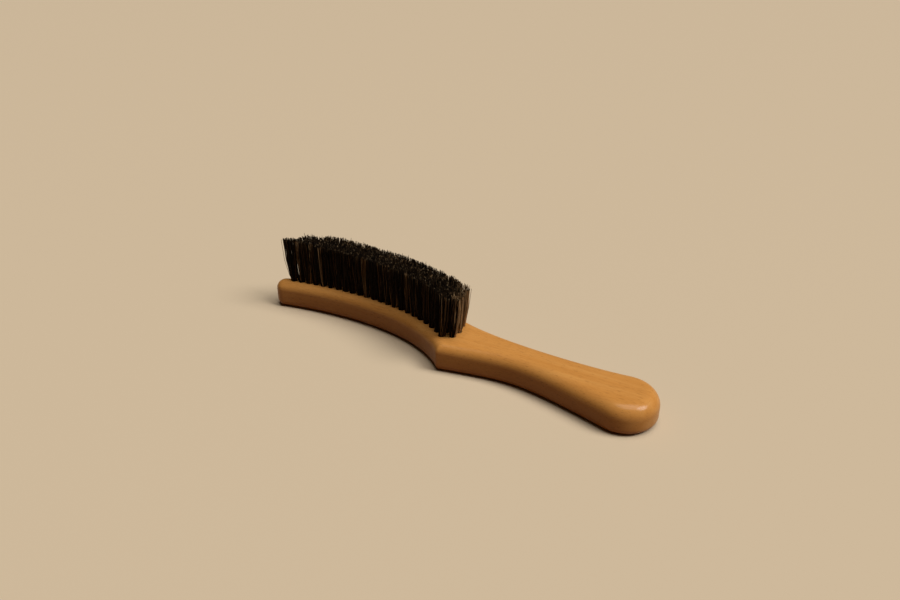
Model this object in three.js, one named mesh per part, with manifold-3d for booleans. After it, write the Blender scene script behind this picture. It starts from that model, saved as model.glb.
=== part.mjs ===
// A hat brush lying on its back: a one-piece wooden stock with a crescent head and a handle,
// and rows of bristle tufts that flat wire anchors hold in drilled holes.
// Millimetres. +X runs from the tip of the head to the end of the handle, +Y to the bulging side
// of the head, +Z the way the bristles point. The origin is under the middle of the stock.

import * as THREE from 'three';
import { mergeVertices } from 'three/addons/utils/BufferGeometryUtils.js';
import Module from 'manifold-3d';

const wasm = await Module();
wasm.setup();

// Stock, sizes seen from above. Y is measured from the centre line of the handle's round end.
const LENGTH = 236;             // tip of the head to end of the handle
const THICKNESS = 15.5;
const HEAD_EDGE_RADIUS = 5;     // round-over beside the bristle face
const HANDLE_EDGE_RADIUS = 7;   // the same at the end of the handle
const BOTTOM_EDGE_RADIUS = 4;   // round-over beside the back
const TIP_RADIUS = 5.6;         // nose of the head
const ROUNDING_LIMIT = 0.9;     // most of an end's radius that a round-over may take
const TIP_Y = 9.8;
const END_RADIUS = 16.8;        // round end of the handle
const SPUR_X = 121.3;           // sharp corner between head and handle, from the tip
const SPUR_Y = -10.9;
const SHOULDER_X = 123;         // where the bulging edge of the head turns into the handle
const SHOULDER_Y = 21.7;

// Directions of the edges, in degrees, going round the outline with the wood on the left
const HOLLOW_START = 13;
const HOLLOW_END = -45;
const GRIP_START = 12;
const GRIP_END = -16;
const BACK_START = 188;
const BACK_END = 161;
const BULGE_END = 195;

// How far each edge keeps its direction at its two ends, as shares of the line between them
const HOLLOW_PULLS = [0.35, 0.295];
const GRIP_PULLS = [0.428, 0.567];
const BACK_PULLS = [0.245, 0.245];
const BULGE_PULLS = [0.966, 0.084];

// Tufts and their holes. Rows run parallel to the hollow edge of the head.
const FIRST_ROW_MARGIN = 6.7;   // hollow edge to the middle of the first row
const ROW_SPACING = 4;          // row to row at the nose
const ROW_SPREAD = 1.1;         // how much further apart the rows are at the spur
const TIP_SPREAD = 0.6;         // the same at the tips of the bristles
const SPREAD_POWER = 3;         // how late along the row they draw apart
const FIRST_TUFT_MARGIN = 5;    // from the start of the hollow edge to the first tuft
const LAST_TUFT_MARGIN = 8.4;   // from the last tuft to the spur
const HOLE_DIAMETER = 3.7;
const HOLE_DEPTH = 9.5;
const FACE_SLICE = 1.5;         // depth of the slice of wood that the strands stand in
const CLEARANCE = 0.3;          // gap between pieces that touch on the real brush
const OVERSHOOT = 1;            // how far a cut runs out past the face it starts from

// Each row counts its tufts, and the step along the hollow edge where its first tuft stands
const STEPS = 22;               // steps between the first and last tufts of the first row
const ROWS = [
  { name: 'near', first: 0, tufts: 23 },
  { name: 'second', first: 1.5, tufts: 22 },
  { name: 'third', first: 2, tufts: 21 },
  { name: 'far', first: 4.2, tufts: 18 },
];
const LOOSE_ANCHOR_ROWS = ['near', 'far'];

// Bristle strands
const BRISTLE_LENGTH = 25.7;    // free length above the face, at the spur
const NOSE_RISE = 1.5;          // how much longer the bristles are at the nose
const UNEVEN_HEIGHT = 0.8;      // tips stand this much higher or lower
const STRAND_FOOT_RADIUS = 0.5;
const STRAND_TIP_RADIUS = 0.3;
const STRAND_SIDES = 3;
const STRANDS_ALONG = 2;
const STRANDS_ACROSS = 2;
const FOOT_STEP = 1.1;          // strand to strand where they leave the hole
const NOSE_FLARE = 2.8;         // lean of the tufts at the two ends of a row, along it
const SPUR_FLARE = 2.4;
const SPUR_SIDE_FLARE = 2.2;    // their lean to the bulging side, at the spur
const FLARE_POWER = 5;          // how soon the lean fades away from the ends

// Flat wire anchors
const ANCHOR_LENGTH = 4.4;
const ANCHOR_HEIGHT = 1.8;
const ANCHOR_THICKNESS = 0.5;
const ANCHOR_TURN = 90;         // degrees, from the run of the row
const FOLD_THICKNESS = 1;       // bristle folded under the anchor

// Steps along the curves
const HOLLOW_STEPS = 24;
const GRIP_STEPS = 16;
const END_STEPS = 12;
const BACK_STEPS = 10;
const BULGE_STEPS = 22;
const TIP_STEPS = 8;
const ROUND_STEPS = 4;
const HOLE_SIDES = 6;
const SLICE_STEPS = 10;
const RULER_STEPS = 200;

const beech = new THREE.MeshStandardMaterial({ color: 0xc98f4a, roughness: 0.38, metalness: 0 });
const bristle = new THREE.MeshStandardMaterial({ color: 0x16100b, roughness: 0.6, metalness: 0 });
const wire = new THREE.MeshStandardMaterial({ color: 0xb9bcc0, roughness: 0.35, metalness: 0.9 });

// Directions and curves

const RIGHT_ANGLE = 90;
const FULL_TURN = 360;

function heading(degrees) {
  const angle = THREE.MathUtils.degToRad(degrees);
  return new THREE.Vector2(Math.cos(angle), Math.sin(angle));
}

// Left of a direction, which is into the wood
function leftOf(direction) {
  return new THREE.Vector2(-direction.y, direction.x);
}

// Point of a round end where the outline has the given direction
function onRound(centre, radius, degrees) {
  return leftOf(heading(degrees)).multiplyScalar(-radius).add(centre);
}

function edge(from, fromDegrees, to, toDegrees, [pullOut, pullIn]) {
  const reach = from.distanceTo(to);
  const handleOut = heading(fromDegrees).multiplyScalar(pullOut * reach).add(from);
  const handleIn = heading(toDegrees).multiplyScalar(-pullIn * reach).add(to);
  return new THREE.CubicBezierCurve(from, handleOut, handleIn, to);
}

function roundEnd(centre, radius, fromDegrees, toDegrees) {
  const start = THREE.MathUtils.degToRad(fromDegrees - RIGHT_ANGLE);
  const stop = THREE.MathUtils.degToRad(toDegrees - RIGHT_ANGLE);
  return new THREE.EllipseCurve(centre.x, centre.y, radius, radius, start, stop);
}

// Outline of the stock

const tipCentre = new THREE.Vector2(TIP_RADIUS, TIP_Y);
const endCentre = new THREE.Vector2(LENGTH - END_RADIUS, 0);
const spur = new THREE.Vector2(SPUR_X, SPUR_Y);
const shoulder = new THREE.Vector2(SHOULDER_X, SHOULDER_Y);

const hollowFrom = onRound(tipCentre, TIP_RADIUS, HOLLOW_START);
const gripTo = onRound(endCentre, END_RADIUS, GRIP_END);
const backFrom = onRound(endCentre, END_RADIUS, BACK_START);
const bulgeTo = onRound(tipCentre, TIP_RADIUS, BULGE_END);

const hollow = edge(hollowFrom, HOLLOW_START, spur, HOLLOW_END, HOLLOW_PULLS);
const grip = edge(spur, GRIP_START, gripTo, GRIP_END, GRIP_PULLS);
const endRound = roundEnd(endCentre, END_RADIUS, GRIP_END, BACK_START);
const back = edge(backFrom, BACK_START, shoulder, BACK_END, BACK_PULLS);
const bulge = edge(shoulder, BACK_END, bulgeTo, BULGE_END, BULGE_PULLS);
const tipRound = roundEnd(tipCentre, TIP_RADIUS, BULGE_END, HOLLOW_START + FULL_TURN);

const thickestRounding = THICKNESS / 2;
const headRounding = Math.min(HEAD_EDGE_RADIUS, TIP_RADIUS * ROUNDING_LIMIT, thickestRounding);
const handleRounding = Math.min(HANDLE_EDGE_RADIUS, END_RADIUS * ROUNDING_LIMIT, thickestRounding);
const backRounding = Math.min(BOTTOM_EDGE_RADIUS, TIP_RADIUS * ROUNDING_LIMIT, thickestRounding);

// Points of the outline, each with the way it moves when the outline shrinks by one millimetre
// and the radius of the round-over there, beside the bristle face
function outline() {
  const runs = [
    [hollow, HOLLOW_STEPS, headRounding, headRounding],
    [grip, GRIP_STEPS, headRounding, handleRounding],
    [endRound, END_STEPS, handleRounding, handleRounding],
    [back, BACK_STEPS, handleRounding, headRounding],
    [bulge, BULGE_STEPS, headRounding, headRounding],
    [tipRound, TIP_STEPS, headRounding, headRounding],
  ];
  const points = [];
  for (const [curve, steps, fromRounding, toRounding] of runs) {
    for (let i = 0; i < steps; i += 1) {
      const share = i / steps;
      const inward = leftOf(curve.getTangentAt(share));
      const rounding = THREE.MathUtils.lerp(fromRounding, toRounding, share);
      points.push({ place: curve.getPointAt(share), inward, rounding });
    }
  }
  const before = leftOf(heading(HOLLOW_END));
  const after = leftOf(heading(GRIP_START));
  const corner = before.clone().add(after);
  corner.multiplyScalar(2 / corner.lengthSq());
  points[HOLLOW_STEPS].inward = corner;
  return points;
}

// Distance in from the outline and height of each ring of the stock, from the back up
function levels(rounding) {
  const list = [];
  for (let i = 0; i <= ROUND_STEPS; i += 1) {
    const angle = (i / ROUND_STEPS) * Math.PI / 2;
    const z = backRounding * (1 - Math.cos(angle));
    list.push({ inset: backRounding * (1 - Math.sin(angle)), z });
  }
  for (let i = 0; i <= ROUND_STEPS; i += 1) {
    const angle = (i / ROUND_STEPS) * Math.PI / 2;
    const z = THICKNESS - rounding * (1 - Math.sin(angle));
    list.push({ inset: rounding * (1 - Math.cos(angle)), z });
  }
  return list;
}

// Solids and booleans

function solidFrom(geometry) {
  const bare = geometry.clone();
  bare.deleteAttribute('normal');
  bare.deleteAttribute('uv');
  const merged = mergeVertices(bare);
  return new wasm.Manifold(new wasm.Mesh({
    numProp: 3,
    vertProperties: new Float32Array(merged.attributes.position.array),
    triVerts: new Uint32Array(merged.index.array),
  }));
}

function geometryFrom(solid) {
  const mesh = solid.getMesh();
  const geometry = new THREE.BufferGeometry();
  geometry.setAttribute('position', new THREE.BufferAttribute(mesh.vertProperties, 3));
  geometry.setIndex(new THREE.BufferAttribute(mesh.triVerts, 1));
  geometry.computeVertexNormals();
  return geometry;
}

function joined(solids) {
  return solids.reduce((whole, solid) => whole.add(solid));
}

// Solid through rings that all have the same number of points, from the lowest up
function skinned(rings) {
  const count = rings[0].length;
  const last = rings.length - 1;
  const faces = [];
  for (let level = 0; level < last; level += 1) {
    for (let i = 0; i < count; i += 1) {
      const a = level * count + i;
      const b = level * count + (i + 1) % count;
      faces.push(a, b, b + count, a, b + count, a + count);
    }
  }
  const cap = (ring) => (
    THREE.ShapeUtils.triangulateShape(ring.map(({ x, y }) => new THREE.Vector2(x, y)), [])
  );
  for (const [a, b, c] of cap(rings[0])) {
    faces.push(c, b, a);
  }
  for (const corners of cap(rings[last])) {
    faces.push(...corners.map((corner) => last * count + corner));
  }
  const geometry = new THREE.BufferGeometry();
  geometry.setFromPoints(rings.flat());
  geometry.setIndex(faces);
  return solidFrom(geometry);
}

// Level ring with equal sides, whose first flat faces the given angle
function polygon(centre, radius, sides, facing) {
  return Array.from({ length: sides }, (_, i) => {
    const angle = facing + (2 * i - 1) * Math.PI / sides;
    const out = new THREE.Vector3(Math.cos(angle), Math.sin(angle), 0);
    return out.multiplyScalar(radius).add(centre);
  });
}

// The stock without its holes
function blankStock() {
  const columns = outline().map(({ place, inward, rounding }) => (
    levels(rounding).map(({ inset, z }) => (
      new THREE.Vector3(place.x + inward.x * inset, place.y + inward.y * inset, z)
    ))
  ));
  return skinned(columns[0].map((_, level) => columns.map((column) => column[level])));
}

const blank = blankStock();

// Places in the tuft field: a station along the hollow edge and a distance in from it

hollow.arcLengthDivisions = RULER_STEPS;
const hollowLength = hollow.getLength();
const stationStep = (hollowLength - FIRST_TUFT_MARGIN - LAST_TUFT_MARGIN) / STEPS;

// Past its ends the hollow edge is carried on straight
function inField(station, offset) {
  const held = THREE.MathUtils.clamp(station, 0, hollowLength);
  const share = held / hollowLength;
  const along = hollow.getTangentAt(share);
  const place = hollow.getPointAt(share);
  place.addScaledVector(along, station - held);
  place.addScaledVector(leftOf(along), offset);
  return { place, angle: Math.atan2(along.y, along.x) };
}

// The rows draw apart over the last part of the way to the spur
function rowOffset(row, station, mostSpread) {
  const spread = mostSpread * (station / hollowLength) ** SPREAD_POWER;
  return FIRST_ROW_MARGIN + ROWS.indexOf(row) * (ROW_SPACING + spread);
}

function tuftStation(row, tuft) {
  return FIRST_TUFT_MARGIN + (row.first + tuft) * stationStep;
}

function tuftPlace(row, tuft) {
  const station = tuftStation(row, tuft);
  return inField(station, rowOffset(row, station, ROW_SPREAD));
}

// Slice of the bristle face under one row, widened by a margin on every side. It still runs past
// the face, to be trimmed by the shape of the stock.
function rowSlice(row, depth, margin) {
  const reach = stationStep / 2 - CLEARANCE / 2 + margin;
  const half = ROW_SPACING / 2 - CLEARANCE / 2 + margin;
  const from = tuftStation(row, 0) - reach;
  const to = tuftStation(row, row.tufts - 1) + reach;
  const side = (offset) => Array.from({ length: SLICE_STEPS + 1 }, (_, i) => {
    const station = from + (to - from) * i / SLICE_STEPS;
    return inField(station, rowOffset(row, station, ROW_SPREAD) + offset).place;
  });
  const shape = new THREE.Shape([...side(-half), ...side(half).reverse()]);
  const height = depth + OVERSHOOT;
  const geometry = new THREE.ExtrudeGeometry(shape, { depth: height, bevelEnabled: false });
  geometry.translate(0, 0, THICKNESS - depth);
  return solidFrom(geometry);
}

// Upright round bar between two heights, with two of its flats facing the ends of the anchor
function roundBar({ place, angle }, diameter, bottom, top) {
  const facing = angle + THREE.MathUtils.degToRad(ANCHOR_TURN);
  return skinned([bottom, top].map((z) => (
    polygon(new THREE.Vector3(place.x, place.y, z), diameter / 2, HOLE_SIDES, facing)
  )));
}

const holeBottom = THICKNESS - HOLE_DEPTH;
const anchorBottom = holeBottom + CLEARANCE + FOLD_THICKNESS + CLEARANCE;

// Flat block where a tuft's anchor lies, of the given length and widened by a margin
function anchorBlock({ place, angle }, length, margin) {
  const thickness = ANCHOR_THICKNESS + 2 * margin;
  const height = ANCHOR_HEIGHT + 2 * margin;
  const geometry = new THREE.BoxGeometry(length, thickness, height);
  geometry.rotateZ(angle + THREE.MathUtils.degToRad(ANCHOR_TURN));
  geometry.translate(place.x, place.y, anchorBottom + ANCHOR_HEIGHT / 2);
  return geometry;
}

function tuftsOf(row) {
  return Array.from({ length: row.tufts }, (_, tuft) => tuft);
}

// The stock: blank, less a seat for each row, a hole for each tuft and a nick for each anchor's ends
function stockMesh() {
  const open = THICKNESS + OVERSHOOT;
  const cuts = [];
  for (const row of ROWS) {
    cuts.push(rowSlice(row, FACE_SLICE + CLEARANCE, CLEARANCE));
    for (const tuft of tuftsOf(row)) {
      const where = tuftPlace(row, tuft);
      cuts.push(roundBar(where, HOLE_DIAMETER, holeBottom, open));
      cuts.push(solidFrom(anchorBlock(where, ANCHOR_LENGTH + 2 * CLEARANCE, CLEARANCE)));
    }
  }
  const stock = blank.subtract(joined(cuts));
  const mesh = new THREE.Mesh(geometryFrom(stock), beech);
  mesh.name = 'stock';
  return mesh;
}

// One strand between two points
function strand(foot, tip) {
  return skinned([
    polygon(foot, STRAND_FOOT_RADIUS, STRAND_SIDES, 0),
    polygon(tip, STRAND_TIP_RADIUS, STRAND_SIDES, 0),
  ]);
}

// Strands of one tuft: close together at the hole, spread evenly at the tips
function strands(row, tuft) {
  const station = tuftStation(row, tuft);
  const footOffset = rowOffset(row, station, ROW_SPREAD);
  const tipOffset = rowOffset(row, station, TIP_SPREAD);
  const share = 2 * tuft / (row.tufts - 1) - 1;
  const lean = (share < 0 ? NOSE_FLARE : SPUR_FLARE) * share ** FLARE_POWER;
  const sideways = SPUR_SIDE_FLARE * Math.max(share, 0) ** FLARE_POWER;
  const length = BRISTLE_LENGTH + NOSE_RISE * (1 - station / hollowLength) ** 2;
  const footHeight = THICKNESS - FACE_SLICE / 2;
  const list = [];
  for (let i = 0; i < STRANDS_ALONG; i += 1) {
    for (let j = 0; j < STRANDS_ACROSS; j += 1) {
      const along = i - (STRANDS_ALONG - 1) / 2;
      const across = j - (STRANDS_ACROSS - 1) / 2;
      const footPlace = inField(station + along * FOOT_STEP, footOffset + across * FOOT_STEP).place;
      const tipPlace = inField(
        station + lean + along * stationStep / STRANDS_ALONG,
        tipOffset + sideways + across * ROW_SPACING / STRANDS_ACROSS,
      ).place;
      const height = length + UNEVEN_HEIGHT * Math.sin(STRANDS_ALONG * tuft + along + 2 * across);
      const foot = new THREE.Vector3(footPlace.x, footPlace.y, footHeight);
      const tip = new THREE.Vector3(tipPlace.x, tipPlace.y, THICKNESS + height);
      list.push(strand(foot, tip));
    }
  }
  return list;
}

// Folded end of a tuft in its hole. It has a window where its anchor passes through, or the
// anchor itself where that has no node of its own.
function tuftRoot(row, tuft) {
  const where = tuftPlace(row, tuft);
  const diameter = HOLE_DIAMETER - 2 * CLEARANCE;
  const top = THICKNESS - FACE_SLICE / 2;
  const root = roundBar(where, diameter, holeBottom + CLEARANCE, top);
  if (LOOSE_ANCHOR_ROWS.includes(row.name)) {
    return root.subtract(solidFrom(anchorBlock(where, HOLE_DIAMETER, CLEARANCE)));
  }
  return root.add(solidFrom(anchorBlock(where, ANCHOR_LENGTH, 0)));
}

function rowMesh(row) {
  const pieces = [rowSlice(row, FACE_SLICE, 0).intersect(blank)];
  for (const tuft of tuftsOf(row)) {
    pieces.push(tuftRoot(row, tuft), ...strands(row, tuft));
  }
  const mesh = new THREE.Mesh(geometryFrom(joined(pieces)), bristle);
  mesh.name = `bristles_${row.name}_row`;
  return mesh;
}

function anchorMesh(row, tuft) {
  const geometry = anchorBlock(tuftPlace(row, tuft), ANCHOR_LENGTH, 0);
  const mesh = new THREE.Mesh(geometry, wire);
  mesh.name = `anchor_${row.name}_${tuft + 1}`;
  return mesh;
}

// The whole brush, moved so that the origin is under the middle of the stock
const brush = new THREE.Group();
brush.add(stockMesh());
for (const row of ROWS) {
  brush.add(rowMesh(row));
}
for (const row of ROWS.filter(({ name }) => LOOSE_ANCHOR_ROWS.includes(name))) {
  for (const tuft of tuftsOf(row)) {
    brush.add(anchorMesh(row, tuft));
  }
}
const span = new THREE.Box2().setFromPoints(outline().map(({ place }) => place));
const middle = span.getCenter(new THREE.Vector2());
brush.position.set(-middle.x, -middle.y, 0);

export default brush;
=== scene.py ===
# Looks of a hat brush that lies on its back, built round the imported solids.
# Lengths are millimetres. X is measured from the tip of the head and Y from the centre line of the
# handle's round end, as in the part's source; in_frame() moves points to the frame, in metres.

import math

import bmesh
import bpy
import numpy as np
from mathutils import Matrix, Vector


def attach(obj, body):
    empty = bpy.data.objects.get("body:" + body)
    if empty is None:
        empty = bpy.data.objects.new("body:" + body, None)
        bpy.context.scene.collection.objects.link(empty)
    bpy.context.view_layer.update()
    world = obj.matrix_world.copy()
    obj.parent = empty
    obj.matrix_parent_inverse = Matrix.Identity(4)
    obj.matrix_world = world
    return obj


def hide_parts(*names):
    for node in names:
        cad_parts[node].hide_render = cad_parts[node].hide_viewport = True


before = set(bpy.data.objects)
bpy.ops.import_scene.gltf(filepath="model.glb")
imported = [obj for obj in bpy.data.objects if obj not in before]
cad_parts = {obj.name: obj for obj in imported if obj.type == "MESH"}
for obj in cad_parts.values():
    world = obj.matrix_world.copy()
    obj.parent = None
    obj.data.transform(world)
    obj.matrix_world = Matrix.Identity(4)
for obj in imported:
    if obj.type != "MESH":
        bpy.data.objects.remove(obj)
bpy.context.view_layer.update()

MILLIMETRE = 0.001
BODY = "root"

# Stock
LENGTH = 236
THICKNESS = 15.5
HEAD_EDGE_RADIUS = 5     # round-over beside the bristle face
HANDLE_EDGE_RADIUS = 7   # the same at the end of the handle
BOTTOM_EDGE_RADIUS = 4   # round-over beside the back
TIP_RADIUS = 5.6
TIP_CENTRE = np.array((TIP_RADIUS, 9.8))
END_RADIUS = 16.8
END_CENTRE = np.array((LENGTH - END_RADIUS, 0))
SPUR = np.array((121.3, -10.9))        # corner between head and handle
SPUR_RADIUS = 2                        # its sanded edge
SHOULDER = np.array((123, 21.7))       # where the bulging edge turns into the handle

# Directions of the edges, in degrees, going round with the wood on the left
HOLLOW_START, HOLLOW_END = 13, -45
GRIP_START, GRIP_END = 12, -16
BACK_START, BACK_END = 188, 161
BULGE_END = 195

# How far each edge keeps its direction at its two ends, as shares of the line between them
HOLLOW_PULLS = (0.35, 0.295)
GRIP_PULLS = (0.428, 0.567)
BACK_PULLS = (0.245, 0.245)
BULGE_PULLS = (0.966, 0.084)

# Steps along the curves
RULER_STEPS = 600
HOLLOW_STEPS = 64
GRIP_STEPS = 44
END_STEPS = 32
BACK_STEPS = 22
BULGE_STEPS = 60
TIP_STEPS = 22
SPUR_STEPS = 7
ROUND_STEPS = 9
CORNER_ROOM = 4.4       # from the spur to the nearest other points, so that shrunk rings don't cross
FACE_RIM = 0.4          # flat strip round each face, which keeps its shading flat
SHARP_DEGREES = 35      # edges that turn more than this are shaded as sharp

# Tufts and their holes
FIRST_ROW_MARGIN = 6.7  # from the hollow edge to the near row
ROW_SPACING = 4         # row to row at the nose
ROW_SPREAD = 1.1        # how much further apart the rows are at the spur
TIP_SPREAD = 0.6        # the same at the tips of the hairs
SPREAD_POWER = 3        # how late along the row they draw apart
FIRST_TUFT_MARGIN = 5   # along the hollow edge, from its start at the nose
LAST_TUFT_MARGIN = 8.4  # the same to its end at the spur
FIELD_STEPS = 22        # steps from tuft to tuft along the hollow edge

# Rows of tufts, from the hollow edge back. Each has the step at which its first tuft stands, the count
# of its tufts, and the share of brown and blond locks in its tufts and in its last tuft, by the handle.
ROWS = (
    {"name": "near", "first": 0, "tufts": 23, "pale": 0.05, "last_pale": 0.42},
    {"name": "second", "first": 1.5, "tufts": 22, "pale": 0.08, "last_pale": 0.45},
    {"name": "third", "first": 2, "tufts": 21, "pale": 0.1, "last_pale": 0.95},
    {"name": "far", "first": 4.2, "tufts": 18, "pale": 0.3, "last_pale": 0.95},
)
HOLE_RADIUS = 1.85
HOLE_DEPTH = 9.5
HOLE_SIDES = 24
MOUTH_CHAMFER = 0.2
DRILL_POINT = 0.5       # depth of the cone at the bottom
DRILL_OVERSHOOT = 1     # how far the drills stand out of the face

# Anchors
ANCHOR_LENGTH = 4.4
ANCHOR_HEIGHT = 1.8
ANCHOR_THICKNESS = 0.5
ANCHOR_TURN = 90        # degrees from the run of the row
ANCHOR_RISE = 1.6       # from the bottom of the hole, the room for the bend of the hairs
ANCHOR_BOTTOM = THICKNESS - HOLE_DEPTH + ANCHOR_RISE
ANCHOR_ROUNDING = 0.12
ROUNDING_STEPS = 2
ROUNDING_PROFILE = 0.5  # a quarter circle
HIDDEN_ANCHOR_ROWS = ("second", "third")   # their solids hold the anchors in the tuft roots

# Hairs. Each is folded round the anchor, so both its ends stand out of the hole. Those of a tuft
# gather in locks, which share a tone and a bend.
SEED = 7
HAIRS = 64              # folded hairs in a tuft
LOCKS = 8               # locks in each half of a tuft
LOCK_REACHES = (0.8, 0.4)   # from the middle of a tuft to its locks in turn, as shares of its radius
HAIR_LENGTH = 24.1      # free length above the face, at the spur
NOSE_RISE = 3           # how much longer the hairs are at the nose
RISE_POWER = 2.4        # how soon that fades away from the nose
HAIR_ROOT_RADIUS = 0.15
HAIR_TIP_RADIUS = 0.11
HAIR_SIDES = 3
FREE_SHARES = (0, 0.12, 0.5, 0.97, 1)   # points from the mouth of the hole to the tip
FAN_POWER = 0.62        # below 1, a tuft widens most near the hole
BUNDLE_RADIUS = 1.65    # of a tuft where it leaves the hole
TIP_OVERLAP = 1.8       # its width at the tips, as a share of the way to the next tuft
FAN_ACROSS = 1.4        # how many times wider it is at the tips, across its row
NOSE_FLARE = 0.7        # how far the tips lean out along the row, at the nose
SPUR_FLARE = 0.9        # the same at the spur
SPUR_SIDE_FLARE = 1.2   # how far they lean to the bulging side, at the spur
FLARE_POWER = 3         # how soon the lean fades away from the ends; odd, so that they lean apart
LOCK_PULL = 0.25        # how far the tips of a lock gather, as a share
LOCK_SPREAD = 0.25      # how far they stray together
LEAST_PALE_TONE = 0.45  # darkest of the pale locks
LEAST_LAST_TONE = 0.8   # the same in the last tuft of a row
LEAST_LOCK_SHARE = 0.45     # how much of its lock's tone a hair has at least
MOST_OWN_TONE = 0.8     # tone of a hair by itself
OWN_TONE_POWER = 3      # above 1, few hairs come near that
PAINTED_SHADE_TIP_TONE = 0.12         # painted shade: how much of its tone a hair keeps at its cut ends, so the tops of the tufts look darker
PAINTED_GLINT_SHARE = 0.6       # hairs whose cut ends may get a pale painted glint
LEAST_PAINTED_GLINT = 0.4       # how pale those painted glints are at least
UNEVEN_HAIR = 0.25      # spread of tip heights
UNEVEN_LOCK = 0.2       # the same for whole locks
WAVE_HAIR = 0.25        # spread of the sideways bow
WAVE_LOCK = 0.28        # the same for whole locks
STRAY_SHARE = 0.04      # hairs that stray by themselves
END_STRAY_SHARE = 0.1   # the same in the first and last tuft of a row
STRAY_SPREAD = 1.8      # how far their tips stray
BESIDE_SPREAD = 0.5     # depth of the layer of folded hairs beside the anchor
UNDER_SPREAD = 0.8      # the same under it
SLIDE_SHARE = 0.5       # part of the anchor's length that they lie along

# Materials. A grain counts repeats per millimetre along X, Y and Z. A range is the part of a noise that
# is spread over the whole change, and a share says how far the change goes.
NOISE_RANGE = (0.3, 0.7)
EVEN_GRAIN = (1, 1, 1)

# Beech
STREAK_GRAIN = (0.012, 0.3, 0.3)
STREAK_TONES = (
    (0.30, (0.54, 0.235, 0.054)),
    (0.50, (0.60, 0.275, 0.070)),
    (0.72, (0.65, 0.325, 0.092)),
)
CLOUD_GRAIN = (0.015, 0.04, 0.04)
CLOUD_SHARE = 0.5
CLOUD_COLOUR = (0.55, 0.235, 0.048, 1)
FLECK_GRAIN = (0.3, 2.6, 2.6)
FLECK_RANGE = (0.60, 0.72)
FLECK_SHARE = 0.45
FLECK_COLOUR = (0.24, 0.085, 0.018, 1)
FLECK_RELIEF = -0.6     # flecks lie a little lower than the wood
PORE_GRAIN = (0.25, 7.0, 7.0)
PORE_RANGE = (0.35, 0.7)
PORE_SHARE = 0.25
PORE_COLOUR = (0.36, 0.15, 0.036, 1)
WOOD_ROUGHNESS = (0.30, 0.42)
WOOD_BUMP = {"strength": 0.25, "distance": 0.05}
VARNISH = {"Coat_Weight": 0.36, "Coat_Roughness": 0.22}
WOOD_SHINE = {"IOR": 1.5, "Specular_IOR_Level": 0.05, "Specular_Tint": (1, 0.62, 0.25, 1)}

# Hair
HAIR_TONES = (
    (0.0, (0.004, 0.002, 0.001)),
    (0.25, (0.020, 0.011, 0.005)),
    (0.6, (0.11, 0.062, 0.027)),
    (1.0, (0.75, 0.49, 0.25)),
)
HAIR_GRAIN = (3.0, 3.0, 0.2)
SHADE_SHARE = 0.35
SHADE_COLOUR = (0.003, 0.002, 0.001, 1)
GLINT_PATCH_SCALE = 0.9       # patches of painted glints on the cut ends, per millimetre
GLINT_PATCH_RANGE = (0.635, 0.66)
# colour of the painted glints, where groups of cut ends seem to catch light
PAINTED_GLINT_COLOUR = (0.42, 0.30, 0.17, 1)
HAIR_ROUGHNESS = (0.42, 0.6)
HAIR_SHINE = {"IOR": 1.45, "Specular_IOR_Level": 0.05}

# Anchor wire
DRAWING_GRAIN = (0.6, 0.6, 9.0)
STEEL_TONES = ((0.3, (0.42, 0.42, 0.43)), (0.7, (0.62, 0.62, 0.63)))
STAIN_SCALE = 0.8
STAIN_RANGE = (0.55, 0.75)
STAIN_SHARE = 0.4
STAIN_COLOUR = (0.25, 0.2, 0.16, 1)
WIRE_ROUGHNESS = (0.25, 0.45)
WIRE_BUMP = {"strength": 0.3, "distance": 0.02}

# Sockets of the mix node for colours
MIX_SHARE, MIX_FIRST, MIX_SECOND = 0, 6, 7
MIX_RESULT = 2

# Floor, light and camera. Lamps stand in the direction given, and their softness is in degrees.
FLOOR_SIDE = 8000
FLOOR_DROP = 0.05       # below the back, so that the two don't meet in one plane
FLOOR_COLOUR = (0.57, 0.46, 0.32, 1)
FLOOR_BOUNCE = (0.145, 0.06, 0.010, 1)  # what the floor throws back on the brush
FLOOR_ROUGHNESS = 0.9
KEY_LAMP = {"place": (0.624, 0.156, 0.766), "softness": 26, "strength": 2.15, "colour": (1.0, 0.97, 0.93)}
TOP_LAMP = {"place": (0.14, 0.04, 1.0), "softness": 40, "strength": 1.65, "colour": (1.0, 0.97, 0.94)}
WORLD_COLOUR = (1.0, 0.7, 0.4)
WORLD_STRENGTH = 0.03
CAMERA_PLACE = (300.35, -312.51, 233.6)
CAMERA_AIM = (89.47, 60.72, 0)
LENS = 32
SENSOR = 36


# Outline

def heading(degrees):
    angle = math.radians(degrees)
    return np.array((math.cos(angle), math.sin(angle)))


def left_of(direction):
    return np.array((-direction[1], direction[0]))


def on_round(centre, radius, degrees):
    """Point of a round where its edge runs in the given direction."""
    return centre - radius * left_of(heading(degrees))


class Edge:
    """Curve between two points that leaves and reaches them in given directions."""

    def __init__(self, start, start_degrees, stop, stop_degrees, pulls):
        reach = np.linalg.norm(stop - start)
        leaving = start + pulls[0] * reach * heading(start_degrees)
        reaching = stop - pulls[1] * reach * heading(stop_degrees)
        self.corners = (start, leaving, reaching, stop)
        self.shares = np.linspace(0, 1, RULER_STEPS + 1)
        points = np.array([self.point(share) for share in self.shares])
        steps = np.linalg.norm(np.diff(points, axis=0), axis=1)
        self.stations = np.concatenate(((0,), np.cumsum(steps)))
        self.length = self.stations[-1]

    def point(self, share):
        a, b, c, d = self.corners
        rest = 1 - share
        return rest**3 * a + 3 * rest**2 * share * b + 3 * rest * share**2 * c + share**3 * d

    def direction(self, share):
        a, b, c, d = self.corners
        rest = 1 - share
        slope = rest**2 * (b - a) + 2 * rest * share * (c - b) + share**2 * (d - c)
        return slope / np.linalg.norm(slope)

    def at(self, station):
        """Point at a station along the edge, and the edge's direction there."""
        share = np.interp(station, self.stations, self.shares)
        return self.point(share), self.direction(share)


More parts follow.
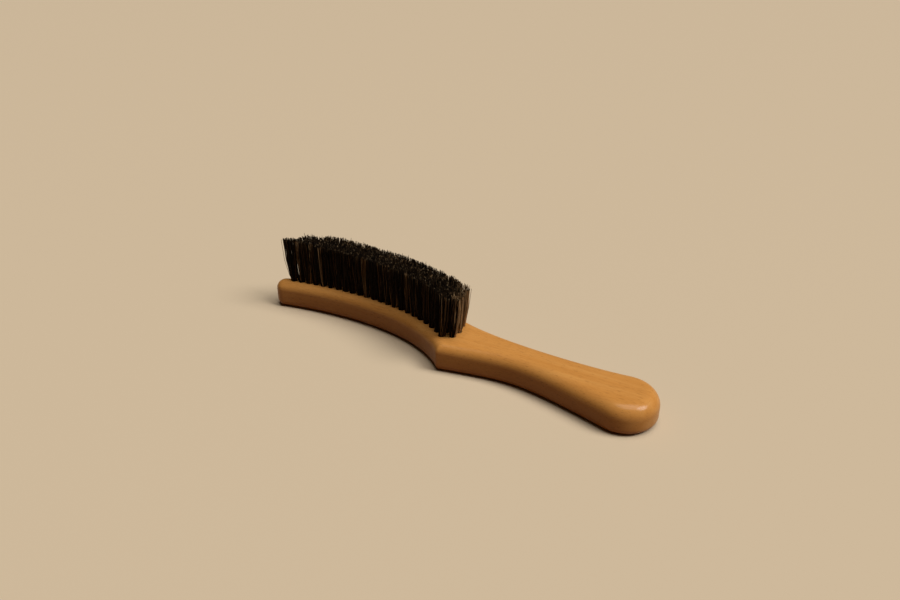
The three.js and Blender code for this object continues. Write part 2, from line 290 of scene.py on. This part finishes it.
hollow = Edge(on_round(TIP_CENTRE, TIP_RADIUS, HOLLOW_START), HOLLOW_START, SPUR, HOLLOW_END, HOLLOW_PULLS)
grip = Edge(SPUR, GRIP_START, on_round(END_CENTRE, END_RADIUS, GRIP_END), GRIP_END, GRIP_PULLS)
back = Edge(on_round(END_CENTRE, END_RADIUS, BACK_START), BACK_START, SHOULDER, BACK_END, BACK_PULLS)
bulge = Edge(SHOULDER, BACK_END, on_round(TIP_CENTRE, TIP_RADIUS, BULGE_END), BULGE_END, BULGE_PULLS)


def edge_run(edge, stations, start_rounding, stop_rounding):
    """Outline points at stations along an edge, whose round-over grows evenly."""
    run = []
    for station in stations:
        place, direction = edge.at(station)
        rounding = np.interp(station, (0, edge.length), (start_rounding, stop_rounding))
        run.append((place, left_of(direction), rounding))
    return run


def round_run(centre, radius, start, stop, steps, rounding):
    """Outline points along a round, from one direction of its edge to another."""
    angles = np.linspace(start, stop, steps, endpoint=False)
    return [(on_round(centre, radius, angle), left_of(heading(angle)), rounding) for angle in angles]


def outline():
    """Points round the stock, each with the way it moves when the outline shrinks by one, and with
    the radius of the round-over beside the bristle face."""
    head, handle = HEAD_EDGE_RADIUS, HANDLE_EDGE_RADIUS
    corner = left_of(heading(HOLLOW_END)) + left_of(heading(GRIP_START))
    mitre = corner * 2 / corner.dot(corner)
    spur_centre = SPUR + mitre * SPUR_RADIUS
    spur_angles = np.linspace(HOLLOW_END, GRIP_START, SPUR_STEPS)
    hollow_stations = np.linspace(0, hollow.length - CORNER_ROOM, HOLLOW_STEPS)
    grip_stations = np.linspace(CORNER_ROOM, grip.length, GRIP_STEPS, endpoint=False)
    back_stations = np.linspace(0, back.length, BACK_STEPS, endpoint=False)
    bulge_stations = np.linspace(0, bulge.length, BULGE_STEPS, endpoint=False)
    return [
        *edge_run(hollow, hollow_stations, head, head),
        *[(on_round(spur_centre, SPUR_RADIUS, angle), mitre, head) for angle in spur_angles],
        *edge_run(grip, grip_stations, head, handle),
        *round_run(END_CENTRE, END_RADIUS, GRIP_END, BACK_START, END_STEPS, handle),
        *edge_run(back, back_stations, handle, head),
        *edge_run(bulge, bulge_stations, head, head),
        *round_run(TIP_CENTRE, TIP_RADIUS, BULGE_END, HOLLOW_START + 360, TIP_STEPS, head),
    ]


rim_places, rim_inward, rim_rounding = map(np.array, zip(*outline()))
MIDDLE = np.append((rim_places.min(axis=0) + rim_places.max(axis=0)) / 2, 0)


def in_frame(points):
    """Moves points from the part's own place, in millimetres, to the frame, in metres."""
    return (np.asarray(points, float) - MIDDLE) * MILLIMETRE


# Tuft field

step_along = (hollow.length - FIRST_TUFT_MARGIN - LAST_TUFT_MARGIN) / FIELD_STEPS


def in_field(station, offset):
    """Place and row direction at a station along the hollow edge and a distance in from it."""
    place, direction = hollow.at(station)
    return place + left_of(direction) * offset, direction


def row_offset(row, station, most_spread):
    """Distance of a row from the hollow edge. The rows draw apart on the way to the spur."""
    spread = most_spread * (station / hollow.length)**SPREAD_POWER
    return FIRST_ROW_MARGIN + ROWS.index(row) * (ROW_SPACING + spread)


def tuft_station(row, tuft):
    return FIRST_TUFT_MARGIN + (row["first"] + tuft) * step_along


def anchor_run(direction):
    """Direction of the anchors in a row that runs in the given direction."""
    turned = math.atan2(direction[1], direction[0]) + math.radians(ANCHOR_TURN)
    return np.array((math.cos(turned), math.sin(turned)))


def tuft_places(row):
    stations = [tuft_station(row, tuft) for tuft in range(row["tufts"])]
    return [in_field(station, row_offset(row, station, ROW_SPREAD)) for station in stations]


# Meshes

def new_object(name, mesh):
    piece = bpy.data.objects.new(name, mesh)
    bpy.context.scene.collection.objects.link(piece)
    return piece


def skin_rings(work, rings):
    """Adds a closed skin through rings of points, from the lowest up, with flat caps."""
    made = [[work.verts.new(point) for point in in_frame(ring)] for ring in rings]
    count = len(made[0])
    for lower, upper in zip(made, made[1:]):
        for i in range(count):
            j = (i + 1) % count
            work.faces.new((lower[i], lower[j], upper[j], upper[i]))
    work.faces.new(list(reversed(made[0])))
    work.faces.new(made[-1])


def mesh_from(name, work):
    mesh = bpy.data.meshes.new(name)
    work.to_mesh(mesh)
    work.free()
    return mesh


def level_ring(places, z):
    return np.column_stack((places, np.broadcast_to(z, len(places))))


def stock_rings():
    """Rings of the stock: a flat back, a quarter round, the wall, a quarter round and a flat face."""
    turns = np.linspace(0, math.pi / 2, ROUND_STEPS + 1)
    levels = [(BOTTOM_EDGE_RADIUS + FACE_RIM, 0)]
    for turn in turns:
        inset = BOTTOM_EDGE_RADIUS * (1 - math.sin(turn))
        levels.append((inset, BOTTOM_EDGE_RADIUS * (1 - math.cos(turn))))
    for turn in turns:
        inset = rim_rounding * (1 - math.cos(turn))
        levels.append((inset, THICKNESS - rim_rounding * (1 - math.sin(turn))))
    levels.append((rim_rounding + FACE_RIM, THICKNESS))
    rings = []
    for inset, z in levels:
        rings.append(level_ring(rim_places + rim_inward * np.reshape(inset, (-1, 1)), z))
    return rings


def hole_rings(place):
    """Rings of one drilled hole, from the drill's point up to past the face."""
    turns = np.linspace(0, 2 * math.pi, HOLE_SIDES, endpoint=False)
    circle = np.column_stack((np.cos(turns), np.sin(turns)))
    bottom = THICKNESS - HOLE_DEPTH
    flare = HOLE_RADIUS + MOUTH_CHAMFER
    levels = (
        (DRILL_POINT / 2, bottom - DRILL_POINT),
        (HOLE_RADIUS, bottom),
        (HOLE_RADIUS, THICKNESS - MOUTH_CHAMFER),
        (flare, THICKNESS),
        (flare, THICKNESS + DRILL_OVERSHOOT),
    )
    return [level_ring(place + circle * radius, z) for radius, z in levels]


def make_drills():
    work = bmesh.new()
    for row in ROWS:
        for place, _ in tuft_places(row):
            skin_rings(work, hole_rings(place))
    return new_object("drills", mesh_from("drills", work))


def make_stock():
    work = bmesh.new()
    skin_rings(work, stock_rings())
    stock = new_object("stock_wood", mesh_from("stock_wood", work))
    drills = make_drills()
    holes = stock.modifiers.new("holes", "BOOLEAN")
    holes.operation = "DIFFERENCE"
    holes.solver = "EXACT"
    holes.object = drills
    drilled = stock.evaluated_get(bpy.context.evaluated_depsgraph_get())
    mesh = bpy.data.meshes.new_from_object(drilled)
    stock.modifiers.clear()
    stock.data = mesh
    bpy.data.objects.remove(drills)
    mesh.shade_smooth()
    mesh.set_sharp_from_angle(angle=math.radians(SHARP_DEGREES))
    return stock


# Hairs

def unit(vectors):
    return vectors / np.linalg.norm(vectors, axis=-1, keepdims=True)


def half_disc(random, count):
    """Places in the half of a disc of radius 1 whose Y is positive."""
    reach = np.sqrt(random.random(count))
    turn = random.random(count) * math.pi
    return np.column_stack((reach * np.cos(turn), reach * np.sin(turn)))


def lock_places(random):
    """Middles of the locks of one half of a tuft: far out and near the middle in turn."""
    number = np.arange(LOCKS)
    turn = (number + random.random(LOCKS)) / LOCKS * math.pi
    reach = np.where(number % 2 == 0, *LOCK_REACHES)
    return np.column_stack((reach * np.cos(turn), reach * np.sin(turn)))


class Tuft:
    """Chance values of one tuft. Places are in a disc of radius 1, with the anchor along its X."""

    def __init__(self, random, row, tuft):
        self.row = row
        self.tuft = tuft
        places = tuft_places(row)
        self.place, self.direction = places[tuft]
        neighbour, _ = places[tuft - 1 if tuft else 1]
        self.fan_along = TIP_OVERLAP * np.linalg.norm(neighbour - self.place) / (2 * BUNDLE_RADIUS)
        self.anchor_along = anchor_run(self.direction)
        self.station = tuft_station(row, tuft)
        self.feet = half_disc(random, HAIRS)
        self.locks = lock_places(random)
        gaps = np.linalg.norm(self.feet[:, None] - self.locks[None], axis=2)
        self.lock_of = gaps.argmin(axis=1)
        self.random = random

    def tones(self):
        """Tone of each hair: from 0, black, to 1, blond. The tufts by the handle are paler."""
        last = self.tuft == self.row["tufts"] - 1
        least = LEAST_LAST_TONE if last else LEAST_PALE_TONE
        pale = self.random.random(LOCKS) < self.row["last_pale" if last else "pale"]
        locks = pale * (least + (1 - least) * self.random.random(LOCKS))
        own = MOST_OWN_TONE * self.random.random(HAIRS)**OWN_TONE_POWER
        share = LEAST_LOCK_SHARE + (1 - LEAST_LOCK_SHARE) * self.random.random(HAIRS)
        return np.clip(locks[self.lock_of] * share + own, 0, 1)

    def painted_glints(self):
        """Share of pale painted glint at the cut ends of each hair, where they seem to catch light."""
        pale = self.random.random(HAIRS) < PAINTED_GLINT_SHARE
        return pale * (LEAST_PAINTED_GLINT + (1 - LEAST_PAINTED_GLINT) * self.random.random(HAIRS))

    def end_share(self):
        """Where the tuft stands in its row: from -1, at the nose, to 1, by the handle."""
        return 2 * self.tuft / (self.row["tufts"] - 1) - 1

    def lean(self):
        """How far the tips stand aside of the hole: the ends of a row flare out, and rows that have
        drawn apart close up."""
        share = self.end_share()
        along = (NOSE_FLARE if share < 0 else SPUR_FLARE) * share**FLARE_POWER
        sideways = SPUR_SIDE_FLARE * max(share, 0)**FLARE_POWER
        at_foot = row_offset(self.row, self.station, ROW_SPREAD)
        at_tip = row_offset(self.row, self.station, TIP_SPREAD)
        return self.direction * along + left_of(self.direction) * (sideways + at_tip - at_foot)

    def lengths(self):
        """Free length of each hair. It grows towards the nose."""
        nose_share = 1 - self.station / hollow.length
        level = HAIR_LENGTH + NOSE_RISE * nose_share**RISE_POWER
        locks = self.random.normal(0, UNEVEN_LOCK, LOCKS)[self.lock_of]
        return level + locks + self.random.normal(0, UNEVEN_HAIR, HAIRS)

    def level_places(self, inside):
        """Turns places in the disc of radius 1 to the run of the row."""
        return inside[:, :1] * self.anchor_along + inside[:, 1:] * left_of(self.anchor_along)

    def free_half(self, side):
        """Points of one half of each hair, from the mouth of the hole to the tip."""
        mirror = np.array((1, side))
        foot = self.level_places(self.feet * mirror) * BUNDLE_RADIUS
        gathered = self.feet + (self.locks[self.lock_of] - self.feet) * LOCK_PULL
        spread = self.level_places(gathered * mirror) * BUNDLE_RADIUS
        along = spread @ self.direction
        across = spread @ left_of(self.direction)
        stray = self.random.normal(0, STRAY_SPREAD, (HAIRS, 2))
        at_end = self.tuft in (0, self.row["tufts"] - 1)
        stray_share = END_STRAY_SHARE if at_end else STRAY_SHARE
        stray *= (self.random.random(HAIRS) < stray_share)[:, None]
        tip = self.lean() + stray + self.random.normal(0, LOCK_SPREAD, (LOCKS, 2))[self.lock_of]
        tip = tip + along[:, None] * self.fan_along * self.direction
        tip = tip + across[:, None] * FAN_ACROSS * left_of(self.direction)
        bow = self.random.normal(0, WAVE_LOCK, (LOCKS, 2))[self.lock_of]
        bow = bow + self.random.normal(0, WAVE_HAIR, (HAIRS, 2))
        length = self.lengths()
        points = []
        for share_up in FREE_SHARES:
            aside = foot + (tip - foot) * share_up**FAN_POWER + bow * math.sin(math.pi * share_up)
            points.append(np.column_stack((self.place + aside, THICKNESS + length * share_up)))
        return np.stack(points, axis=1)

    def fold(self):
        """Points of each hair inside the hole: beside, under and again beside the anchor."""
        beside = ANCHOR_THICKNESS / 2 + HAIR_ROOT_RADIUS + self.random.random(HAIRS) * BESIDE_SPREAD
        slide = (self.random.random(HAIRS) - 0.5) * ANCHOR_LENGTH * SLIDE_SHARE
        level = np.full(HAIRS, ANCHOR_BOTTOM + ANCHOR_HEIGHT / 2)
        under = ANCHOR_BOTTOM - HAIR_ROOT_RADIUS - self.random.random(HAIRS) * UNDER_SPREAD
        centre = self.place + self.anchor_along * slide[:, None]
        out = left_of(self.anchor_along) * beside[:, None]
        return np.stack((
            np.column_stack((centre + out, level)),
            np.column_stack((centre, under)),
            np.column_stack((centre - out, level)),
        ), axis=1)

    def hairs(self):
        """Paths of the hairs, each from tip to tip."""
        first = self.free_half(1)
        second = self.free_half(-1)
        return np.concatenate((first[:, ::-1], self.fold(), second), axis=1)


def from_tip(length):
    """Steps from each point of a path to the nearer of its two tips."""
    steps = np.arange(length)
    return np.minimum(steps, steps[::-1])


def tube_points(paths):
    """Points of thin tubes along the paths: for each path and each of its points, a ring of them."""
    count, length, _ = paths.shape
    run = unit(np.gradient(paths, axis=1))
    flat = paths[:, -1] - paths[:, 0]
    side = unit(np.column_stack((-flat[:, 1], flat[:, 0], np.zeros(count))))[:, None, :]
    second = unit(np.cross(run, np.broadcast_to(side, run.shape)))
    first = np.cross(second, run)
    to_root = np.clip(from_tip(length) / (len(FREE_SHARES) - 1), 0, 1)
    radius = HAIR_TIP_RADIUS + (HAIR_ROOT_RADIUS - HAIR_TIP_RADIUS) * to_root
    rings = []
    for corner in range(HAIR_SIDES):
        angle = 2 * math.pi * corner / HAIR_SIDES
        out = first * math.cos(angle) + second * math.sin(angle)
        rings.append(paths + out * radius[None, :, None])
    return np.stack(rings, axis=2)


def tube_faces(count, length):
    """Faces of the tubes: their walls, and a cap at each tip."""
    index = np.arange(count * length * HAIR_SIDES).reshape(count, length, HAIR_SIDES)
    turned = np.roll(index, -1, axis=2)
    walls = np.stack((index[:, :-1], turned[:, :-1], turned[:, 1:], index[:, 1:]), axis=-1)
    ends = np.concatenate((index[:, 0, ::-1], index[:, -1]))
    return walls.reshape(-1, 4).tolist() + ends.tolist()


def tube_mesh(name, paths, tones, painted_glints):
    """Thin tubes along the paths. Every point holds its hair's tone, darkened at the cut ends as painted
    shade, and its share of pale painted glint at the cut ends.
    """
    count, length, _ = paths.shape
    points = in_frame(tube_points(paths).reshape(-1, 3))
    mesh = bpy.data.meshes.new(name)
    mesh.from_pydata(points.tolist(), [], tube_faces(count, length))
    at_tip = np.tile(np.repeat(from_tip(length) == 0, HAIR_SIDES), count)
    # At the cut ends the tone is darkened as painted shade, and some ends get a pale painted glint.
    values_by_label = {
        "tone": np.repeat(tones, length * HAIR_SIDES) * np.where(at_tip, PAINTED_SHADE_TIP_TONE, 1),
        "painted_glint": np.repeat(painted_glints, length * HAIR_SIDES) * at_tip,
    }
    for label, values in values_by_label.items():
        attribute = mesh.attributes.new(label, "FLOAT", "POINT")
        attribute.data.foreach_set("value", values.astype(np.float32))
    mesh.shade_smooth()
    return mesh


def make_row(row):
    random = np.random.default_rng(SEED + ROWS.index(row))
    paths, tones, painted_glints = [], [], []
    for number in range(row["tufts"]):
        tuft = Tuft(random, row, number)
        paths.append(tuft.hairs())
        tones.append(tuft.tones())
        painted_glints.append(tuft.painted_glints())
    name = f"hair_{row['name']}_row"
    mesh = tube_mesh(name, *map(np.concatenate, (paths, tones, painted_glints)))
    return new_object(name, mesh)


# Anchors

def make_anchors(row):
    """The flat wires of one row, each across its hole."""
    work = bmesh.new()
    for place, direction in tuft_places(row):
        run = anchor_run(direction)
        along = run * ANCHOR_LENGTH / 2
        wide = left_of(run) * ANCHOR_THICKNESS / 2
        corners = np.array([place - along - wide, place + along - wide,
                            place + along + wide, place - along + wide])
        levels = (ANCHOR_BOTTOM, ANCHOR_BOTTOM + ANCHOR_HEIGHT)
        skin_rings(work, [level_ring(corners, z) for z in levels])
    bmesh.ops.bevel(work, geom=work.edges[:], offset=ANCHOR_ROUNDING * MILLIMETRE,
                    segments=ROUNDING_STEPS, profile=ROUNDING_PROFILE, affect="EDGES")
    name = f"anchors_{row['name']}_row"
    return new_object(name, mesh_from(name, work))


# Materials

class Look:
    """A node material with a Principled shader."""

    def __init__(self, name, **constants):
        self.material = bpy.data.materials.new(name)
        self.material.use_nodes = True
        self.tree = self.material.node_tree
        self.shader = self.tree.nodes["Principled BSDF"]
        for socket, value in constants.items():
            self.shader.inputs[socket.replace("_", " ")].default_value = value

    def node(self, kind, inputs=(), **settings):
        """A new node. Each input is linked to a socket or set to a value."""
        made = self.tree.nodes.new("ShaderNode" + kind)
        for setting, value in settings.items():
            setattr(made, setting, value)
        for socket, value in dict(inputs).items():
            if isinstance(value, bpy.types.NodeSocket):
                self.tree.links.new(value, made.inputs[socket])
            else:
                made.inputs[socket].default_value = value
        return made

    def millimetres(self, grain=EVEN_GRAIN):
        """The piece's own coordinates in millimetres, times a grain."""
        place = self.node("TexCoord").outputs["Object"]
        size = [repeats / MILLIMETRE for repeats in grain]
        return self.node("Mapping", {"Vector": place, "Scale": size}).outputs["Vector"]

    def noise(self, place, scale=1.0, detail=2.0, roughness=0.5):
        inputs = {"Vector": place, "Scale": scale, "Detail": detail, "Roughness": roughness}
        return self.node("TexNoise", inputs).outputs["Fac"]

    def span(self, value, low, high, to_low=0.0, to_high=1.0):
        """Spreads a value from one range over another."""
        inputs = {"Value": value, "From Min": low, "From Max": high, "To Min": to_low, "To Max": to_high}
        return self.node("MapRange", inputs).outputs["Result"]

    def ramp(self, value, stops):
        """Colour at a value between stops, each a place and a colour."""
        made = self.node("ValToRGB", {"Fac": value})
        elements = made.color_ramp.elements
        while len(elements) < len(stops):
            elements.new(1.0)
        for element, (place, colour) in zip(elements, stops):
            element.position = place
            element.color = (*colour, 1)
        return made.outputs["Color"]

    def mix(self, share, first, second):
        inputs = {MIX_SHARE: share, MIX_FIRST: first, MIX_SECOND: second}
        return self.node("Mix", inputs, data_type="RGBA").outputs[MIX_RESULT]

    def math(self, operation, first, second):
        return self.node("Math", {0: first, 1: second}, operation=operation).outputs["Value"]

    def attribute(self, name):
        return self.node("Attribute", attribute_name=name).outputs["Fac"]

    def bump(self, height, strength, distance):
        inputs = {"Height": height, "Strength": strength, "Distance": distance * MILLIMETRE}
        return self.node("Bump", inputs).outputs["Normal"]

    def finish(self, **links):
        for socket, value in links.items():
            self.tree.links.new(value, self.shader.inputs[socket.replace("_", " ")])
        return self.material


def beech_look():
    """Varnished beech: long streaks, short dark flecks along the grain, fine pores."""
    look = Look("beech_varnished", **WOOD_SHINE, **VARNISH)
    streak = look.noise(look.millimetres(STREAK_GRAIN), detail=5.0, roughness=0.6)
    fleck = look.noise(look.millimetres(FLECK_GRAIN), detail=1.0)
    pores = look.noise(look.millimetres(PORE_GRAIN))
    cloud = look.noise(look.millimetres(CLOUD_GRAIN))
    streaked = look.ramp(streak, STREAK_TONES)
    clouded = look.mix(look.span(cloud, *NOISE_RANGE, 0, CLOUD_SHARE), streaked, CLOUD_COLOUR)
    dark = look.span(fleck, *FLECK_RANGE, 0, FLECK_SHARE)
    flecked = look.mix(dark, clouded, FLECK_COLOUR)
    colour = look.mix(look.span(pores, *PORE_RANGE, 0, PORE_SHARE), flecked, PORE_COLOUR)
    roughness = look.span(pores, *NOISE_RANGE, *WOOD_ROUGHNESS)
    relief = look.math("ADD", look.math("MULTIPLY", dark, FLECK_RELIEF), pores)
    normal = look.bump(relief, **WOOD_BUMP)
    return look.finish(Base_Color=colour, Roughness=roughness, Normal=normal)


def hair_look():
    """Bristle hair: most of it near black, some brown and blond, with pale painted glints on some cut
    ends.
    """
    look = Look("bristle_hair", **HAIR_SHINE)
    grain = look.noise(look.millimetres(HAIR_GRAIN))
    own = look.ramp(look.attribute("tone"), HAIR_TONES)
    varied = look.mix(look.span(grain, *NOISE_RANGE, 0, SHADE_SHARE), own, SHADE_COLOUR)
    patches = look.noise(look.millimetres(), scale=GLINT_PATCH_SCALE, detail=1.0)
    # pale painted glints on the cut ends, in patches
    cut = look.math("MULTIPLY", look.attribute("painted_glint"), look.span(patches, *GLINT_PATCH_RANGE))
    colour = look.mix(cut, varied, PAINTED_GLINT_COLOUR)
    roughness = look.span(grain, *NOISE_RANGE, *HAIR_ROUGHNESS)
    return look.finish(Base_Color=colour, Roughness=roughness)


def wire_look():
    """Flattened steel wire with drawing marks and a few stains."""
    look = Look("anchor_wire", Metallic=1.0)
    marks = look.noise(look.millimetres(DRAWING_GRAIN), detail=3.0)
    spots = look.noise(look.millimetres(), scale=STAIN_SCALE, detail=3.0)
    steel = look.ramp(marks, STEEL_TONES)
    colour = look.mix(look.span(spots, *STAIN_RANGE, 0, STAIN_SHARE), steel, STAIN_COLOUR)
    roughness = look.span(marks, *NOISE_RANGE, *WIRE_ROUGHNESS)
    normal = look.bump(marks, **WIRE_BUMP)
    return look.finish(Base_Color=colour, Roughness=roughness, Normal=normal)


def floor_look():
    """Plain pale paper. What it throws back on the brush has a colour of its own."""
    look = Look("floor_paper", Roughness=FLOOR_ROUGHNESS)
    ray = look.node("LightPath").outputs
    seen = look.math("MAXIMUM", ray["Is Camera Ray"], ray["Is Glossy Ray"])
    return look.finish(Base_Color=look.mix(seen, FLOOR_BOUNCE, FLOOR_COLOUR))


# Pieces

wood = beech_look()
hair = hair_look()
wire = wire_look()

stock = make_stock()
stock.data.materials.clear()
stock.data.materials.append(wood)
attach(stock, BODY)
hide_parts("stock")

for row in ROWS:
    bristles = make_row(row)
    bristles.data.materials.append(hair)
    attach(bristles, BODY)
    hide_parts(f"bristles_{row['name']}_row")
    if row["name"] in HIDDEN_ANCHOR_ROWS:
        anchors = make_anchors(row)
        anchors.data.materials.append(wire)
        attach(anchors, BODY)

for name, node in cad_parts.items():
    if name.startswith("anchor_"):
        node.data.materials.clear()
        node.data.materials.append(wire)


# Floor, light and camera

def make_floor():
    work = bmesh.new()
    bmesh.ops.create_grid(work, x_segments=1, y_segments=1, size=FLOOR_SIDE * MILLIMETRE / 2)
    floor = new_object("floor", mesh_from("floor", work))
    floor.location.z = -FLOOR_DROP * MILLIMETRE
    floor.data.materials.append(floor_look())


def make_lamp(name, place, softness, strength, colour):
    """A far lamp that shines from a place to the middle of the scene, so the floor is lit evenly."""
    lamp = bpy.data.lights.new(name, "SUN")
    lamp.angle = math.radians(softness)
    lamp.energy = strength
    lamp.color = colour
    holder = new_object(name, lamp)
    holder.location = place
    holder.rotation_euler = (-Vector(place)).to_track_quat("-Z", "Y").to_euler()


def make_world(colour, strength):
    world = bpy.data.worlds.new("studio")
    world.use_nodes = True
    background = world.node_tree.nodes["Background"]
    background.inputs["Color"].default_value = (*colour, 1)
    background.inputs["Strength"].default_value = strength
    bpy.context.scene.world = world


def make_camera():
    data = bpy.data.cameras.new("camera")
    data.sensor_fit = "HORIZONTAL"
    data.sensor_width = SENSOR
    data.lens = LENS
    camera = new_object("camera", data)
    place = Vector(in_frame(CAMERA_PLACE))
    aim = Vector(in_frame(CAMERA_AIM))
    camera.location = place
    camera.rotation_euler = (aim - place).to_track_quat("-Z", "Y").to_euler()
    bpy.context.scene.camera = camera


make_floor()
make_lamp("key", **KEY_LAMP)
make_lamp("top", **TOP_LAMP)
make_world(WORLD_COLOUR, WORLD_STRENGTH)
make_camera()
bpy.context.scene.view_settings.view_transform = "Standard"
